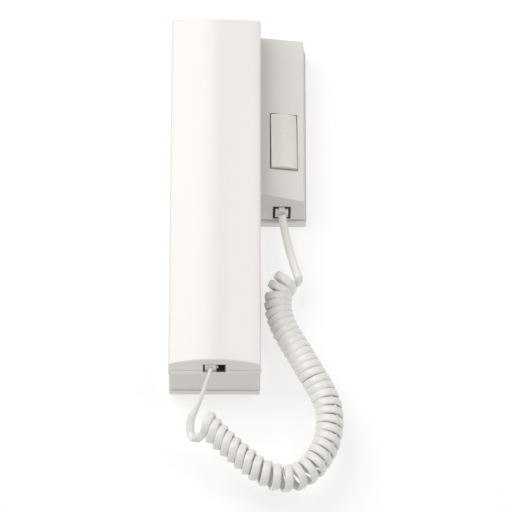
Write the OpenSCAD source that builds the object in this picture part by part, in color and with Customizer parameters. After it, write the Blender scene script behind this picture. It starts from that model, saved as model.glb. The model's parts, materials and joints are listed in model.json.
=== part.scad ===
// Door-entry wall handset: a narrow handset on a flag-shaped base with a release button and a curly cord.
// Millimetres. Origin on the wall face, midway between the two wall screws. +Z is up and the front faces -Y.

/* [Base] */
// Width of the column that the handset hangs on
col_w = 54; // [50:0.5:70]
// Height of the base
base_h = 219; // [205:1:270]
// Depth of the column, from the wall to its front
col_d = 37.4; // [34:0.2:50]
// How far the wing stands out past the column
wing_w = 27.8; // [25:0.2:40]
// Height of the wing
wing_h = 113; // [105:1:160]
// Depth of the wing beside the column
wing_d = 28.1; // [26:0.1:33]
// Slant of the wing's front, falling away from the column
wing_slant = 12.2; // [8:0.2:14]
// Thickness of the back plate's tray
plate_d = 6.5; // [6:0.1:9]
// Wall thickness of the base cover
cover_wall = 2; // [1.6:0.1:2.4]
// Step from the back plate's edge to the cover's edge
cover_step = 0.7; // [0.3:0.1:1.2]
// Corner radius of the back plate
plate_r = 1.5; // [1:0.5:6]

/* [Handset] */
// How much wider the handset is than the column
hand_extra_w = 0; // [0:0.1:3]
// How much longer the handset is than the base
hand_extra_l = 3.7; // [0:0.1:8]
// Height of the handset's middle above the base's middle
hand_rise = 2.2; // [0:0.1:4]
// Thickness of the handset at its sides
side_d = 10.2; // [9.6:0.1:14]
// Rise of the crowned front above the sides
crown = 5; // [4.4:0.1:8]
// Wall thickness of the handset's front shell
shell_wall = 2; // [1.6:0.1:2.2]
// Thickness of the back shell's rim, from the back to the seam
seam_d = 4; // [3.4:0.1:5]
// Gap between the hung handset and the base's front
rest_gap = 0.4; // [0.3:0.1:1]
// Depth of the ear and mouth pods behind the handset
pod_d = 8; // [6:0.1:10]
// How far the sides of both pods stand in from the column's sides
pod_inset = 5; // [4.6:0.1:6]
// Clearance between a pod and its recess
pod_gap = 0.6; // [0.4:0.1:1.2]
// Angle above level at which the handset leaves its cradle
lift_angle = 30; // [20:1:40]

/* [Release button] */
// Width of the button
button_w = 15.7; // [13:0.1:16]
// Height of the button
button_h = 34.9; // [33:0.1:42]
// Height of the button's middle above the wing's lower edge
button_up = 45.3; // [44:0.1:52]
// Gap around the button
button_gap = 0.65; // [0.4:0.05:1]
// Radius of the pins that the button swings on
trunnion_r = 1.5; // [1.2:0.1:1.8]

/* [Fixings] */
// Distance between the two wall screws
wall_pitch = 60.3; // [56:0.1:62]
// Radius of the wall screws' holes
wall_hole_r = 2.1; // [1.8:0.1:2.5]
// Distance between the two cover screws
cover_pitch = 32; // [30:1:38]
// Running clearance of a pin in its bore, on the radius
run_gap = 0.06; // [0.03:0.01:0.09]

/* [Modular plugs] */
// Width of a four-way plug
plug_w = 7.65; // [7.6:0.05:7.7]
// Thickness of a four-way plug
plug_t = 6.6; // [6.5:0.05:6.65]
// Length of a four-way plug
plug_l = 11.7; // [11:0.1:12.5]

/* [Cord] */
// Diameter of the straight cord
cord_d = 3.4; // [3:0.1:4]
// Outer diameter of the coiled cord
coil_d = 16.4; // [14:0.2:17]

/* [Hidden] */
$fn = 48;
eps = 0.01;
sounder_r = 14;
sounder_z = -62;

// Base outline
base_bottom = -108;
base_top = base_bottom + base_h;
wing_bottom = base_top - wing_h;
col_half = col_w / 2;
wing_edge = col_half + wing_w;
cover_half = col_half - cover_step;
floor_t = 2;
rim_t = 1.8;
end_lean = 0.45;
foot_lean = 0.21;
wing_draft = 1.3;
cover_edge = wing_edge - cover_step;
face_edge = cover_edge - wing_draft;

// Circuit board, on posts in the tray
board_back = 5.2;
board_t = 1.6;
board_front = board_back + board_t;
board_left = -col_half + 5;
board_right = wing_edge - 4.3;
board_low = wing_bottom + 6;
board_high = base_top - 4;
board_inner = col_half + 1;
post_r = 3;
pilot_r = 1.1;

// Handset
hand_w = col_w + hand_extra_w;
hand_l = base_h + hand_extra_l;
hand_mid = (base_bottom + base_top) / 2 + hand_rise;
hand_end = hand_mid - hand_l / 2;
pod_w = col_w - 2 * pod_inset;
hand_back = col_d + rest_gap;
seam = hand_back + seam_d;
side_front = hand_back + side_d;
hand_front = side_front + crown;
hand_half = hand_w / 2;
face_half = hand_half - 0.3;
crown_r = (face_half * face_half + crown * crown) / (2 * crown);
hand_lean = 0.27;
back_wall = 1.3;
lift_slope = tan(lift_angle);

// Pods at the ear and mouth, given at the handset's back
ear_high = hand_mid + hand_l / 2 - 15;
ear_low = ear_high - 44;
mouth_low = hand_end + 19.6;
mouth_high = mouth_low + 36;
board_mid = ear_low - 12;
board_posts = [[board_left + 5, board_high - 5], [board_right - 5, board_high - 5],
               [board_left + 3.2, board_mid + 5]];
pod_back = hand_back - pod_d;
pod_wall = 2;
recess_floor = pod_back - 1;
cover_floor = recess_floor - cover_wall;
ear_mid = (ear_low + ear_high - pod_d * lift_slope) / 2;
mouth_mid = (mouth_low + mouth_high - pod_d * lift_slope) / 2;
ear_seat = pod_back + pod_wall;
capsule_r = 16.8;

// Hook lever in the ear recess
lever_pin_r = 1.5;
lever_y = cover_floor - 7.8;
lever_z = ear_mid - 17.5;
nose_r = 3;
nose_y = pod_back - 0.3 - nose_r;
nose_z = lever_z + 18;
lever_half = 3;
lever_rise = [nose_y - lever_y, nose_z - lever_z];
lever_dir = lever_rise / norm(lever_rise);
lever_side = [lever_dir[1], -lever_dir[0]];
arm_t = 1.6;
switch_z = lever_z + 12;
arm_back = lever_y + 12 * lever_dir[0] / lever_dir[1] - arm_t / lever_dir[1];
hook_tip = arm_back - 0.3;
hook_switch_d = hook_tip - 6;

// Release button, in the wing's own slanted frame
button_x = 14.9;
button_z = wing_bottom + button_up;
button_low = button_z - button_h / 2;
button_high = button_z + button_h / 2;
button_crown = 1.3;
button_proud = 1.8;
button_r = (button_w * button_w / 4 + button_crown * button_crown) / (2 * button_crown);
pivot_in = 4;
pivot_z = button_high - 3.3;
trunnion_l = 2.1;
press_z = button_low + 9.2;
dome_r = 2;
dome_in = 6.5;
dome_x = cover_half + button_x * cos(wing_slant) - dome_in * sin(wing_slant);
dome_y = wing_d - button_x * sin(wing_slant) - dome_in * cos(wing_slant);
door_tip = dome_y - dome_r - 0.3;
door_switch_d = door_tip - 2.6;

// Jack in the wing's lower end
jack_x = cover_half + 13.5;
jack_gap = 0.1;
jack_back = board_front + 2.7;
jack_mid = jack_back + jack_gap + plug_t / 2;
base_plug_z = wing_bottom + 2.6;
latch_w = 3.2;
latch_t = 1.2;
nose_half = 5.2;

// Jack in the handset's lower end, turned a quarter
hand_jack_x = -2.3;
hand_jack_y = hand_back + 2 + jack_gap + plug_w / 2;
hand_plug_z = hand_end + 1.7;

// Straight cord and coil, as points on the centreline from the base's jack to the handset's
base_tail = [[39.8, -12.9, 0.6], [40.6, -13.3, -3], [41.8, -14.3, -10], [43.4, -15.4, -18.5],
             [45, -16.2, -28], [45.2, -16, -36]];
coil_line = [[45.2, -16, -36], [44, -16, -41], [41, -16, -46], [38.3, -16, -52], [37.6, -16, -59],
             [38.8, -16, -66], [42, -16, -74], [46, -16, -81], [51, -17, -90], [57, -18, -101],
             [62.6, -18, -111], [66.4, -19, -121], [67.2, -20, -131], [65.6, -21, -142],
             [61.4, -22, -151.5], [55, -23, -160], [46, -24, -165.5], [36, -25, -165.5],
             [27, -26, -162], [18, -27, -155.5], [9, -28, -148], [1, -29, -140.5], [-5, -30, -133.5]];
hand_tail = [[-2.3, -43.7, -105.95], [-2.8, -43.4, -109.5], [-5, -41.6, -115], [-7.8, -38, -121],
             [-9, -34.8, -126], [-7.8, -32.2, -130.4], [-5, -30, -133.5]];

// ---- Helpers ----

// A rounded rectangle in X and Z
module rounded(x0, x1, z0, z1, r) {
    translate([x0 + r, z0]) square([x1 - x0 - 2 * r, z1 - z0]);
    translate([x0, z0 + r]) square([x1 - x0, z1 - z0 - 2 * r]);
    for (x = [x0 + r, x1 - r], z = [z0 + r, z1 - r])
        translate([x, z]) circle(r);
}

// Extrudes an outline drawn in X and Z from depth d0 to depth d1 in front of the wall
module deep(d0, d1) {
    translate([0, -d0, 0]) rotate([90, 0, 0]) linear_extrude(d1 - d0) children();
}

// Extrudes an outline drawn in Y and Z from x0 to x1
module across(x0, x1) {
    translate([x0, 0, 0]) rotate([90, 0, 90]) linear_extrude(x1 - x0) children();
}

module block(x0, x1, d0, d1, z0, z1) {
    translate([x0, -d1, z0]) cube([x1 - x0, d1 - d0, z1 - z0]);
}

// A round bar from depth d0 to depth d1
module bar(x, z, r, d0, d1) {
    translate([x, -d0, z]) rotate([90, 0, 0]) cylinder(r = r, h = d1 - d0);
}

// A screw driven from the front, its head seated at depth d
module screw(x, z, d, head_r, head_t, shank_r, shank_l) {
    difference() {
        union() {
            bar(x, z, head_r, d, d + head_t);
            bar(x, z, shank_r, d - shank_l, d + eps);
        }
        block(x - head_r * 0.65, x + head_r * 0.65, d + head_t / 2, d + head_t + 1, z - 0.35, z + 0.35);
        block(x - 0.35, x + 0.35, d + head_t / 2, d + head_t + 1, z - head_r * 0.65, z + head_r * 0.65);
    }
}

// The base's flag outline, drawn in from its edge
module flag(inset) {
    r = max(plate_r - inset, 0.4);
    rounded(-col_half + inset, col_half - inset, base_bottom + inset, base_top - inset, r);
    rounded(0, wing_edge - inset, wing_bottom + inset, base_top - inset, r);
}

// A slice between depths d0 and d1 of the pod that slopes down to the wall along the lift
module pod(half, low, high, d0, d1) {
    sink0 = (hand_back - d0) * lift_slope;
    sink1 = (hand_back - d1) * lift_slope;
    across(-half, half)
        polygon([[-d1, low - sink1], [-d1, high - sink1], [-d0, high - sink0], [-d0, low - sink0]]);
}

// Puts its children in the frame of the wing's slanted front: X along the face, -Y out of it
module on_wing() {
    translate([cover_half, -wing_d, 0]) rotate([0, 0, wing_slant]) children();
}

// ---- Base ----

module back_plate() {
    color("gainsboro")
    difference() {
        union() {
            deep(0, floor_t) flag(0);
            difference() {
                deep(0, plate_d) flag(0);
                deep(-1, plate_d + 1) flag(rim_t);
            }
            for (p = board_posts)
                bar(p[0], p[1], post_r, floor_t - eps, board_back);
            bar(jack_x, board_low + 24, post_r, floor_t - eps, board_back);
            for (s = [-1, 1])
                bar(0, s * cover_pitch / 2, 3.5, floor_t - eps, 13.5);
            difference() {
                bar(0, sounder_z, sounder_r + 1.6, floor_t - eps, 4.5);
                bar(0, sounder_z, sounder_r + 0.2, floor_t - 1, 5);
            }
        }
        for (s = [-1, 1])
            bar(0, s * wall_pitch / 2, wall_hole_r, -1, floor_t + 1);
        deep(-1, floor_t + 1) rounded(-14, 14, -6, 6, 3);
        for (p = board_posts)
            bar(p[0], p[1], pilot_r, floor_t, board_back + 1);
        for (s = [-1, 1])
            bar(0, s * cover_pitch / 2, 1.5, floor_t, 14.5);
    }
}

// Outside of the cover, or its inside when drawn in by the wall
module column_body(inset) {
    front = col_d - inset;
    low = base_bottom + cover_step + inset;
    back = plate_d - (inset > 0 ? 1 : 0);
    across(-cover_half + inset, cover_half - inset)
        polygon([[-back, low], [-front, low + foot_lean * (front - plate_d)],
                 [-front, base_top - cover_step - inset], [-back, base_top - cover_step - inset]]);
}

module wing_body(inset) {
    front = wing_d - inset / cos(wing_slant);
    back = plate_d - (inset > 0 ? 1 : 0);
    low = wing_bottom + cover_step + inset * sqrt(1 + end_lean * end_lean);
    fall = (face_edge - inset - cover_half) * tan(wing_slant);
    intersection() {
        linear_extrude(base_top - cover_step - inset)
            polygon([[cover_half - 6, -back], [cover_edge - inset, -back],
                     [face_edge - inset, -front + fall], [cover_half, -front],
                     [cover_half - 6, -front]]);
        across(0, wing_edge)
            polygon([[-back, low + end_lean * (back - plate_d)],
                     [-wing_d - 5, low + end_lean * (wing_d + 5 - plate_d)],
                     [-wing_d - 5, base_top], [-back, base_top]]);
    }
}

module base_cover() {
    ear_x = button_w / 2 + button_gap;
    color("lightgray")
    difference() {
        union() {
            difference() {
                union() {
                    column_body(0);
                    wing_body(0);
                }
                column_body(cover_wall);
                wing_body(cover_wall);
            }
            // Walls and floors of the two recesses
            pod(pod_w / 2 + pod_gap + cover_wall - 0.3, ear_low - pod_gap - cover_wall,
                ear_high + pod_gap + cover_wall, cover_floor, col_d - 1);
            pod(pod_w / 2 + pod_gap + cover_wall - 0.3, mouth_low - pod_gap - cover_wall,
                mouth_high + pod_gap + cover_wall, cover_floor, col_d - 1);
            for (s = [-1, 1])
                bar(0, s * cover_pitch / 2, 5, 13.5, col_d - 1);
            // Ears for the hook lever's pin
            for (s = [-1, 1])
                block(s * 5.5 - 1.4, s * 5.5 + 1.4, lever_y - 2.6, cover_floor + 1,
                      lever_z - 3, lever_z + 3);
            // Ears for the button's pins
            on_wing()
                for (s = [-1, 1])
                    translate([button_x + s * (ear_x + 0.85) - 0.85, 1, pivot_z - 3])
                        cube([1.7, 6, 6]);
        }
        pod(pod_w / 2 + pod_gap, ear_low - pod_gap, ear_high + pod_gap, recess_floor, col_d + 1);
        pod(pod_w / 2 + pod_gap, mouth_low - pod_gap, mouth_high + pod_gap, recess_floor, col_d + 1);
        for (s = [-1, 1]) {
            bar(0, s * cover_pitch / 2, 3.3, 15.5, col_d + 1);
            bar(0, s * cover_pitch / 2, 1.7, 12, 16);
        }
        // Slot for the lever's nose, and the pin's bore
        block(-4.2, 4.2, cover_floor - 1, recess_floor + 1, nose_z - 12, nose_z + 6);
        translate([-8, -lever_y, lever_z]) rotate([0, 90, 0]) cylinder(r = lever_pin_r, h = 16);
        // Button opening and its bores
        on_wing() {
            translate([button_x - ear_x, -5, button_low - button_gap])
                cube([2 * ear_x, 7 + cover_wall, button_h + 2 * button_gap]);
            translate([button_x - ear_x - 2, pivot_in, pivot_z]) rotate([0, 90, 0])
                cylinder(r = trunnion_r + run_gap, h = 2 * ear_x + 4);
        }
        // Jack opening in the wing's lower end
        block(jack_x - nose_half - 0.2, jack_x + nose_half + 0.2, jack_back - 0.9, jack_back + 8.7,
              wing_bottom - 5, wing_bottom + 15);
        // Sound slots
        for (i = [0:4])
            deep(col_d - cover_wall - 1, col_d + 1)
                rounded(-12, 12, -31.5 - 3.4 * i, -30 - 3.4 * i, 0.7);
    }
}

module base_circuit_board() {
    color("darkolivegreen")
    difference() {
        deep(board_back, board_front)
            polygon([[board_left, board_mid], [board_left, board_high], [board_right, board_high],
                     [board_right, board_low], [board_inner, board_low], [board_inner, board_mid]]);
        for (p = board_posts)
            bar(p[0], p[1], 1.5, 0, 20);
    }
}

module board_screws() {
    color("silver")
    for (p = board_posts)
        screw(p[0], p[1], board_front, 2.6, 1.8, 1.05, 4.2);
}

module cover_screws() {
    color("silver")
    for (s = [-1, 1])
        screw(0, s * cover_pitch / 2, 15.5, 2.9, 2, 1.45, 11);
}

terminal_count = 6;
terminal_pitch = 5.08;
terminal_z = board_mid + 6;

module terminal_block() {
    left = -terminal_count * terminal_pitch / 2;
    color("seagreen")
    difference() {
        block(left, -left, board_front, board_front + 11, terminal_z - 4.5, terminal_z + 4.5);
        for (i = [0:terminal_count - 1]) {
            x = left + (i + 0.5) * terminal_pitch;
            bar(x, terminal_z, 1.9, board_front + 6, board_front + 12);
            block(x - 1.7, x + 1.7, board_front + 1.5, board_front + 5, terminal_z - 5, terminal_z);
        }
    }
}

module terminal_screws() {
    left = -terminal_count * terminal_pitch / 2;
    color("silver")
    for (i = [0:terminal_count - 1]) {
        x = left + (i + 0.5) * terminal_pitch;
        difference() {
            bar(x, terminal_z, 1.8, board_front + 6, board_front + 9.4);
            block(x - 2, x + 2, board_front + 8.7, board_front + 10, terminal_z - 0.3, terminal_z + 0.3);
        }
    }
}

module control_chip() {
    chip_x = board_inner + 5;
    chip_z = board_high - 25;
    color("dimgray") {
        block(chip_x - 4.9, chip_x + 4.9, board_front + 0.6, board_front + 4, chip_z - 3.2, chip_z + 3.2);
        for (i = [-1.5:1:1.5], s = [-1, 1])
            translate([chip_x + i * 2.54 - 0.25, -board_front - 2.2, chip_z + s * 3.5 - 0.35])
                cube([0.5, 2.2, 0.7]);
    }
}

module capacitors() {
    color("midnightblue") {
        bar(board_right - 6, board_high - 17, 4, board_front, board_front + 11);
        bar(board_right - 6, board_high - 29, 3.15, board_front, board_front + 9);
    }
}

module resistors() {
    color("burlywood")
    for (i = [0:4]) {
        x = board_inner + 5;
        z = board_low + 20 + 4 * i;
        translate([x - 3, -board_front - 1.5, z]) rotate([0, 90, 0]) cylinder(r = 1.1, h = 6);
        for (s = [-1, 1])
            bar(x + s * 2.6, z, 0.35, board_front, board_front + 1.5);
    }
}

// Two leads from the sounder's side up to the board's lower edge
module leads() {
    low = sounder_z + 7;
    for (s = [-1, 1])
        translate([s * 9, -(board_back + board_front) / 2, low])
            cylinder(r = 0.6, h = board_mid - low, $fn = 16);
}

module sounder() {
    color("black")
    difference() {
        bar(0, sounder_z, sounder_r, floor_t, 10);
        bar(0, sounder_z, 4, 8, 11);
        leads();
    }
}

module sounder_leads() {
    color("firebrick") leads();
}

// Housing of the wing's jack, its lower end cut to the wing's slope
module base_jack() {
    cut = wing_bottom + cover_step + 0.3;
    color("darkslategray")
    difference() {
        intersection() {
            union() {
                block(jack_x - nose_half, jack_x + nose_half, jack_back - 0.7, jack_back + 8.5,
                      wing_bottom, wing_bottom + 22);
                block(jack_x - 7, jack_x + 7, board_front, jack_back + 9.5,
                      wing_bottom + 9.6, wing_bottom + 22);
            }
            across(jack_x - 10, jack_x + 10)
                polygon([[-5, cut - end_lean * 1.5], [-25, cut + end_lean * 18.5], [-25, cut + 30], [-5, cut + 30]]);
        }
        block(jack_x - plug_w / 2 - jack_gap, jack_x + plug_w / 2 + jack_gap, jack_back,
              jack_back + plug_t + 2 * jack_gap, wing_bottom - 5, base_plug_z + plug_l + 0.2);
        block(jack_x - latch_w / 2 - 0.3, jack_x + latch_w / 2 + 0.3, jack_back + plug_t,
              jack_back + plug_t + latch_t + 0.5, wing_bottom - 5, base_plug_z + plug_l);
    }
}

contact_pitch = 1.02;

module base_jack_contacts() {
    color("gold")
    for (i = [-1.5:1:1.5])
        block(jack_x + i * contact_pitch - 0.2, jack_x + i * contact_pitch + 0.2,
              board_front, jack_back + 2, wing_bottom + 22, wing_bottom + 22.5);
}

module door_switch_body() {
    color("black")
    difference() {
        block(dome_x - 3, dome_x + 3, board_front, door_switch_d, press_z - 3, press_z + 3);
        bar(dome_x, press_z, 1.8, door_switch_d - 4.2, door_switch_d + 1);
    }
}

module door_switch_plunger() {
    color("white")
    bar(dome_x, press_z, 1.7, door_switch_d - 2, door_tip);
}

module hook_switch_body() {
    color("black")
    difference() {
        block(-6, 6, board_front, hook_switch_d, switch_z - 4, switch_z + 4);
        bar(0, switch_z, 1.6, hook_switch_d - 3, hook_switch_d + 1);
    }
}

module hook_switch_plunger() {
    color("tomato")
    bar(0, switch_z, 1.5, hook_switch_d - 2.6, hook_tip);
}

module hook_lever() {
    color("whitesmoke")
    difference() {
        union() {
            across(-lever_half, lever_half)
                polygon([[-lever_y + lever_side[0] * arm_t, lever_z + lever_side[1] * arm_t],
                         [-nose_y + lever_side[0] * arm_t, nose_z + lever_side[1] * arm_t],
                         [-nose_y - lever_side[0] * arm_t, nose_z - lever_side[1] * arm_t],
                         [-lever_y - lever_side[0] * arm_t, lever_z - lever_side[1] * arm_t]]);
            translate([-lever_half, -nose_y, nose_z]) rotate([0, 90, 0])
                cylinder(r = nose_r, h = 2 * lever_half);
            translate([-lever_half, -lever_y, lever_z]) rotate([0, 90, 0])
                cylinder(r = 3, h = 2 * lever_half);
        }
        translate([-8, -lever_y, lever_z]) rotate([0, 90, 0])
            cylinder(r = lever_pin_r + run_gap, h = 16);
    }
}

module hook_lever_pin() {
    color("silver")
    translate([-6.9, -lever_y, lever_z]) rotate([0, 90, 0]) cylinder(r = lever_pin_r, h = 13.8);
}

// Crowned cap that swings on two pins near its top and stands proud at its foot
module release_button() {
    half = button_w / 2;
    tip = atan(button_proud / button_h);
    color("linen")
    on_wing() translate([button_x, 0, 0]) {
        difference() {
            translate([0, 0, button_high]) rotate([-tip, 0, 0]) translate([0, 0, -button_h])
                intersection() {
                    translate([-half, -2, 0]) cube([button_w, 8, button_h]);
                    translate([0, button_r - button_crown, 0]) cylinder(r = button_r, h = button_h, $fn = 96);
                }
            translate([-half + 1.5, 2, button_low + 1.5]) cube([button_w - 3, 8, button_h - 3]);
        }
        translate([0, dome_in, press_z]) sphere(dome_r, $fn = 32);
        translate([0, 1, press_z]) rotate([-90, 0, 0]) cylinder(r = dome_r, h = dome_in - 1, $fn = 32);
        for (s = [-1, 1])
            translate([s * (half + trunnion_l / 2 - eps / 2), pivot_in, pivot_z]) rotate([0, 90, 0])
                cylinder(r = trunnion_r, h = trunnion_l + eps, center = true);
    }
}

// ---- Handset ----

// The handset's body between its back and its crowned front, drawn in by a wall
module hand_body(inset) {
    low = hand_end + inset;
    high = hand_mid + hand_l / 2 - inset;
    rise = hand_lean * (hand_front - hand_back);
    intersection() {
        translate([0, 0, low - 1]) linear_extrude(hand_l + 2) intersection() {
            translate([0, crown_r - hand_front]) circle(crown_r - inset, $fn = 180);
            polygon([[-hand_half + inset, -hand_back + 1], [hand_half - inset, -hand_back + 1],
                     [face_half - inset, -side_front], [face_half - inset, -hand_front - 1],
                     [-face_half + inset, -hand_front - 1], [-face_half + inset, -side_front]]);
        }
        across(-hand_half, hand_half)
            polygon([[-hand_back, low], [-hand_front, low + rise],
                     [-hand_front, high - rise], [-hand_back, high]]);
    }
}

// Opening in the handset's lower end for the plug and a fingertip
module hand_jack_opening() {
    block(hand_jack_x - 4.4, hand_jack_x + 8.7, hand_jack_y - 4.05, hand_jack_y + 4.05,
          hand_end - 5, hand_end + 8);
}

hand_screw_z = [hand_mid - 30, hand_mid + 30];

module handset_front_shell() {
    color("snow")
    difference() {
        union() {
            difference() {
                hand_body(0);
                hand_body(shell_wall);
            }
            intersection() {
                hand_body(0.5);
                for (z = hand_screw_z)
                    bar(0, z, 3.2, seam, hand_front);
            }
        }
        block(-40, 40, 0, seam, -200, 200);
        hand_jack_opening();
        for (z = hand_screw_z)
            bar(0, z, 1.15, seam - 1, seam + 6);
    }
}

module handset_back_shell() {
    color("snow")
    difference() {
        union() {
            difference() {
                hand_body(0);
                block(-40, 40, hand_back + back_wall, 100, -200, 200);
            }
            difference() {
                hand_body(0);
                hand_body(shell_wall);
                block(-40, 40, seam, 100, -200, 200);
            }
            pod(pod_w / 2, ear_low, ear_high, pod_back, hand_back + 0.5);
            pod(pod_w / 2, mouth_low, mouth_high, pod_back, hand_back + 0.5);
            for (z = hand_screw_z)
                bar(0, z, 4.2, hand_back, seam);
        }
        pod(pod_w / 2 - pod_wall, ear_low + pod_wall, ear_high - pod_wall, ear_seat, seam);
        pod(pod_w / 2 - pod_wall, mouth_low + pod_wall, mouth_high - pod_wall, ear_seat, seam);
        // Round seat that keeps the receiver clear of the sloping pod
        bar(0, ear_mid, capsule_r + 0.1, ear_seat, seam);
        // Earpiece holes: one in the middle and two rings
        bar(0, ear_mid, 1, pod_back - 1, ear_seat + 1);
        for (ring = [[6, 4], [12, 8]], i = [1:ring[0]]) {
            a = 360 * i / ring[0];
            bar(ring[1] * cos(a), ear_mid + ring[1] * sin(a), 1, pod_back - 1, ear_seat + 1);
        }
        for (x = [-3, 0, 3])
            bar(x, mouth_mid, 0.8, pod_back - 1, ear_seat + 1);
        hand_jack_opening();
        for (z = hand_screw_z) {
            bar(0, z, 2.7, hand_back - 1, hand_back + 1.9);
            bar(0, z, 1.4, hand_back - 1, seam + 1);
        }
    }
}

// Screws driven from the handset's back
module handset_screws() {
    color("silver")
    for (z = hand_screw_z)
        translate([0, -2 * (hand_back + 1.9), 0]) mirror([0, 1, 0])
            screw(0, z, hand_back + 1.9, 2.5, 1.6, 1.1, 7.6);
}

module receiver_gasket() {
    color("black")
    difference() {
        bar(0, ear_mid, capsule_r, ear_seat, ear_seat + 1);
        bar(0, ear_mid, capsule_r - 4, ear_seat - 1, ear_seat + 2);
    }
}

module receiver_frame() {
    color("dimgray")
    difference() {
        bar(0, ear_mid, capsule_r, ear_seat + 1, ear_seat + 11);
        bar(0, ear_mid, capsule_r - 2, ear_seat, ear_seat + 2);
        bar(0, ear_mid, capsule_r - 3.5, ear_seat, ear_seat + 9.5);
    }
}

module receiver_diaphragm() {
    color("goldenrod")
    bar(0, ear_mid, capsule_r - 2.1, ear_seat + 1.6, ear_seat + 2);
}

module receiver_magnet() {
    color("slategray")
    bar(0, ear_mid, 8, ear_seat + 4.5, ear_seat + 9.5);
}

module microphone_boot() {
    color("black")
    difference() {
        bar(0, mouth_mid, 7, ear_seat, ear_seat + 8);
        bar(0, mouth_mid, 4.9, ear_seat + 1.4, ear_seat + 9);
        bar(0, mouth_mid, 3.8, ear_seat - 1, ear_seat + 2);
    }
}

module microphone_capsule() {
    color("silver")
    bar(0, mouth_mid, 4.85, ear_seat + 1.4, ear_seat + 6.6);
}

// Housing of the handset's jack, its nose in the opening and both cut to the end's slope
module handset_jack() {
    end = hand_end;
    wall = shell_wall + 0.2;
    depth = hand_front - hand_back;
    color("darkslategray")
    difference() {
        union() {
            intersection() {
                block(hand_jack_x - 5, hand_jack_x + 8.9, hand_back + back_wall, hand_jack_y + 5.2,
                      end, end + 23);
                across(hand_jack_x - 10, hand_jack_x + 10)
                    polygon([[-hand_back, end + wall], [-hand_front, end + wall + hand_lean * depth],
                             [-hand_front, end + 30], [-hand_back, end + 30]]);
            }
            intersection() {
                block(hand_jack_x - 4.25, hand_jack_x + 8.55, hand_jack_y - 3.9, hand_jack_y + 3.9,
                      end, end + 8);
                across(hand_jack_x - 10, hand_jack_x + 10)
                    polygon([[-hand_back, end + 0.4], [-hand_front, end + 0.4 + hand_lean * depth],
                             [-hand_front, end + 30], [-hand_back, end + 30]]);
            }
        }
        block(hand_jack_x - plug_t / 2 - jack_gap, hand_jack_x + plug_t / 2 + jack_gap,
              hand_jack_y - plug_w / 2 - jack_gap, hand_jack_y + plug_w / 2 + jack_gap,
              end - 1, hand_plug_z + plug_l + 0.2);
        block(hand_jack_x + plug_t / 2, hand_jack_x + plug_t / 2 + latch_t + 0.5,
              hand_jack_y - latch_w / 2 - 0.3, hand_jack_y + latch_w / 2 + 0.3,
              end - 1, hand_plug_z + plug_l);
        block(hand_jack_x + plug_t / 2, hand_jack_x + 7.9, hand_jack_y - 3, hand_jack_y + 3,
              end - 1, end + 9);
    }
}

module handset_jack_contacts() {
    color("gold")
    for (i = [-1.5:1:1.5])
        block(hand_jack_x - 2, hand_jack_x + 2, hand_jack_y + i * contact_pitch - 0.2,
              hand_jack_y + i * contact_pitch + 0.2, hand_end + 23, hand_end + 23.5);
}

// Wires from the receiver's back down to the jack
module receiver_wires() {
    depth = ear_seat + 12.2;
    low = hand_end + 23;
    color("royalblue")
    for (s = [-1, 1]) {
        translate([s * 6, -depth, low]) cylinder(r = 0.6, h = ear_mid - low, $fn = 16);
        translate([s * 6, -depth, ear_mid]) sphere(0.6, $fn = 16);
        bar(s * 6, ear_mid, 0.6, ear_seat + 11, depth);
    }
}

module microphone_wires() {
    depth = ear_seat + 9.6;
    low = hand_end + 23;
    color("firebrick")
    for (s = [-1, 1]) {
        translate([s * 2, -depth, low]) cylinder(r = 0.5, h = mouth_mid - low, $fn = 16);
        translate([s * 2, -depth, mouth_mid]) sphere(0.5, $fn = 16);
        bar(s * 2, mouth_mid, 0.5, ear_seat + 6.6, depth);
    }
}

// ---- Plugs ----

// Four-way plug: its cord end at z 0, its latch towards -Y
module modular_plug() {
    difference() {
        union() {
            translate([-plug_w / 2, -plug_t / 2, 0]) cube([plug_w, plug_t, plug_l]);
            translate([-latch_w / 2, -plug_t / 2 - latch_t, 0.6])
                cube([latch_w, latch_t + eps, plug_l - 2.2]);
        }
        for (i = [-1.5:1:1.5])
            translate([i * contact_pitch - 0.25, plug_t / 2 - 1.5, plug_l - 6]) cube([0.5, 2, 7]);
    }
}

module plug_contacts() {
    for (i = [-1.5:1:1.5])
        translate([i * contact_pitch - 0.2, plug_t / 2 - 1.5, plug_l - 5.8]) cube([0.4, 1.2, 5]);
}

module at_base_jack() {
    translate([jack_x, -jack_mid, base_plug_z]) children();
}

module at_handset_jack() {
    translate([hand_jack_x, -hand_jack_y, hand_plug_z]) rotate([0, 0, 90]) children();
}

module base_plug() {
    color("lightgray", 0.9) at_base_jack() modular_plug();
}

module base_plug_contacts() {
    color("gold") at_base_jack() plug_contacts();
}

module handset_plug() {
    color("lightgray", 0.9) at_handset_jack() modular_plug();
}

module handset_plug_contacts() {
    color("gold") at_handset_jack() plug_contacts();
}

// ---- Cord ----

function unit(v) = v / norm(v);

// Direction of a line of points at point i
function heading(p, i) = unit(p[min(i + 1, len(p) - 1)] - p[max(i - 1, 0)]);

// Ring of n points round point i, square to the line; the rings share one sideways direction
function ring(p, i, r, n, dir) =
    let(a = unit(cross(dir, [0, 1, 0])), b = cross(dir, a))
    [for (k = [0:n - 1]) p[i] + r * (cos(360 * k / n) * a + sin(360 * k / n) * b)];

// A closed tube along points p; the first and last rings face along d0 and d1
module tube(p, r, n, d0, d1) {
    last = len(p) - 1;
    points = [for (i = [0:last])
        each ring(p, i, r, n, i == 0 ? d0 : i == last ? d1 : heading(p, i))];
    sides = [for (i = [0:last - 1], k = [0:n - 1])
        [i * n + k, i * n + (k + 1) % n, (i + 1) * n + (k + 1) % n, (i + 1) * n + k]];
    triangles = [for (s = sides) each [[s[0], s[1], s[2]], [s[0], s[2], s[3]]]];
    caps = [[for (k = [n - 1:-1:0]) k], [for (k = [0:n - 1]) last * n + k]];
    polyhedron(points, concat(triangles, caps));
}

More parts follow.
